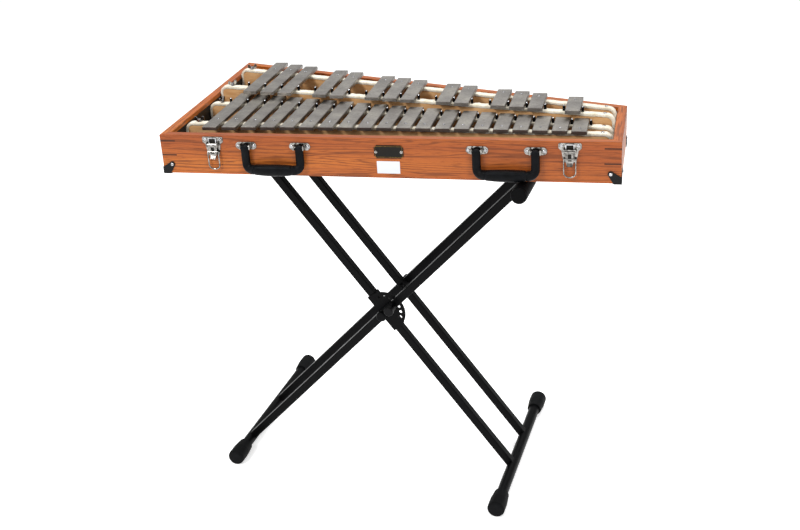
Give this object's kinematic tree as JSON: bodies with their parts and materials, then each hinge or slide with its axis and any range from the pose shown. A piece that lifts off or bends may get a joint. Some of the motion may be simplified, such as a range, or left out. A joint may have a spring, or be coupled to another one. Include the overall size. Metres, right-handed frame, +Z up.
{
  "type": "glockenspiel on folding stand",
  "caption": "Two-row steel-bar glockenspiel in an open trapezoid oak case with latches and carrying handles, standing on a folding double-tube X stand.",
  "frame": {"origin": "on the floor under the middle of the overall box", "axes": "+X along the row of bars towards the short high bars, +Y from the player's side to the back, +Z up"},
  "size_m": [0.987, 0.6744, 0.8932],
  "materials": {
    "oak": "oiled oak, satin",
    "plywood": "stained plywood",
    "walnut_key": "dark hardwood",
    "maple_rail": "bare maple",
    "felt": "off-white wool felt",
    "bar_steel": "dull grey case-hardened steel",
    "pin_chrome": "bright plated",
    "black_rubber": "matt",
    "black_paint": "satin black powder coat",
    "nickel": "polished nickel plate",
    "black_leather": "black grained handle covering",
    "protector_black": "black japanned steel",
    "nameplate_black": "black enamel with brass border",
    "spring_steel": "bright spring wire",
    "cap_rubber": "moulded black rubber",
    "knob_plastic": "moulded black plastic"
  },
  "bodies": {
    "frame_a": {"a_tube_front": "black_paint", "a_tube_rear": "black_paint", "a_foot": "black_paint", "a_foot_caps": "cap_rubber", "a_arm": "black_paint", "a_arm_sleeves": "cap_rubber", "lock_plate": "black_paint", "lock_flanges": "black_paint", "pivot_bolts": "black_paint", "pivot_spacers": "black_paint"},
    "frame_b": {"b_tube_front": "black_paint", "b_tube_rear": "black_paint", "b_foot": "black_paint", "b_foot_caps": "cap_rubber", "b_arm": "black_paint", "b_arm_sleeves": "cap_rubber", "pin_housing": "black_paint"},
    "locking_pin": {"pull_pin": "knob_plastic", "pin_spring": "spring_steel"},
    "case": {"case_front": "oak", "case_back": "oak", "case_left": "oak", "case_right": "oak", "case_floor": "plywood", "corner_keys": "walnut_key", "corner_protectors": "protector_black", "rail_natural_outer": "maple_rail", "felt_natural_outer": "felt", "rail_natural_inner": "maple_rail", "felt_natural_inner": "felt", "rail_sharp_inner": "maple_rail", "felt_sharp_inner": "felt", "rail_sharp_outer": "maple_rail", "felt_sharp_outer": "felt", "natural_bars_low": "bar_steel", "natural_bars_middle": "bar_steel", "natural_bars_high": "bar_steel", "sharp_bars_1": "bar_steel", "sharp_bars_2": "bar_steel", "sharp_bars_3": "bar_steel", "sharp_bars_4": "bar_steel", "sharp_bars_5": "bar_steel", "sharp_bars_6": "bar_steel", "bar_pins": "pin_chrome", "post_pins": "pin_chrome", "case_screws": "pin_chrome", "rail_fixings": "pin_chrome", "post_sleeves": "black_rubber", "latch_plate_left": "nickel", "handle_plates_left": "nickel", "latch_plate_right": "nickel", "handle_plates_right": "nickel", "nameplate": "nameplate_black", "nameplate_screws": "nickel"},
    "lever_left": {"latch_lever_left": "nickel"},
    "bail_left": {"latch_bail_left": "nickel"},
    "carry_handle_left": {"handle_left": "black_leather"},
    "lever_right": {"latch_lever_right": "nickel"},
    "bail_right": {"latch_bail_right": "nickel"},
    "carry_handle_right": {"handle_right": "black_leather"}
  },
  "joints": [
    {"name": "stand_fold", "type": "hinge", "parent": "frame_a", "child": "frame_b", "pos_m": [-0.038, -0.06177, 0.407], "axis": [-0.0889, -0.996, 0], "range_deg": [0, 74]},
    {"name": "case_lift", "type": "slide", "parent": "frame_a", "child": "case", "axis": [0, 0, 1], "range_m": [0, 0.5]},
    {"name": "pin_pull", "type": "slide", "parent": "frame_b", "child": "locking_pin", "axis": [-0.0889, -0.996, 0], "range_m": [0, 0.006], "stiffness_N_per_m": 400, "deforming": ["pin_spring"]},
    {"name": "lever_left", "type": "hinge", "parent": "case", "child": "lever_left", "pos_m": [-0.369, -0.25427, 0.848], "axis": [-1, 0, 0], "range_deg": [0, 80]},
    {"name": "bail_left", "type": "hinge", "parent": "lever_left", "child": "bail_left", "pos_m": [-0.369, -0.25427, 0.832], "axis": [-1, 0, 0], "range_deg": [0, 100]},
    {"name": "handle_left", "type": "hinge", "parent": "case", "child": "carry_handle_left", "pos_m": [-0.235, -0.25677, 0.846], "axis": [-1, 0, 0], "range_deg": [0, 120]},
    {"name": "lever_right", "type": "hinge", "parent": "case", "child": "lever_right", "pos_m": [0.388, -0.25427, 0.848], "axis": [-1, 0, 0], "range_deg": [0, 80]},
    {"name": "bail_right", "type": "hinge", "parent": "lever_right", "child": "bail_right", "pos_m": [0.388, -0.25427, 0.832], "axis": [-1, 0, 0], "range_deg": [0, 100]},
    {"name": "handle_right", "type": "hinge", "parent": "case", "child": "carry_handle_right", "pos_m": [0.26, -0.25677, 0.846], "axis": [-1, 0, 0], "range_deg": [0, 120]}
  ],
  "couplings": [
    {"joint": "case_lift", "follows": "stand_fold", "m_per_rad": 0.38}
  ]
}
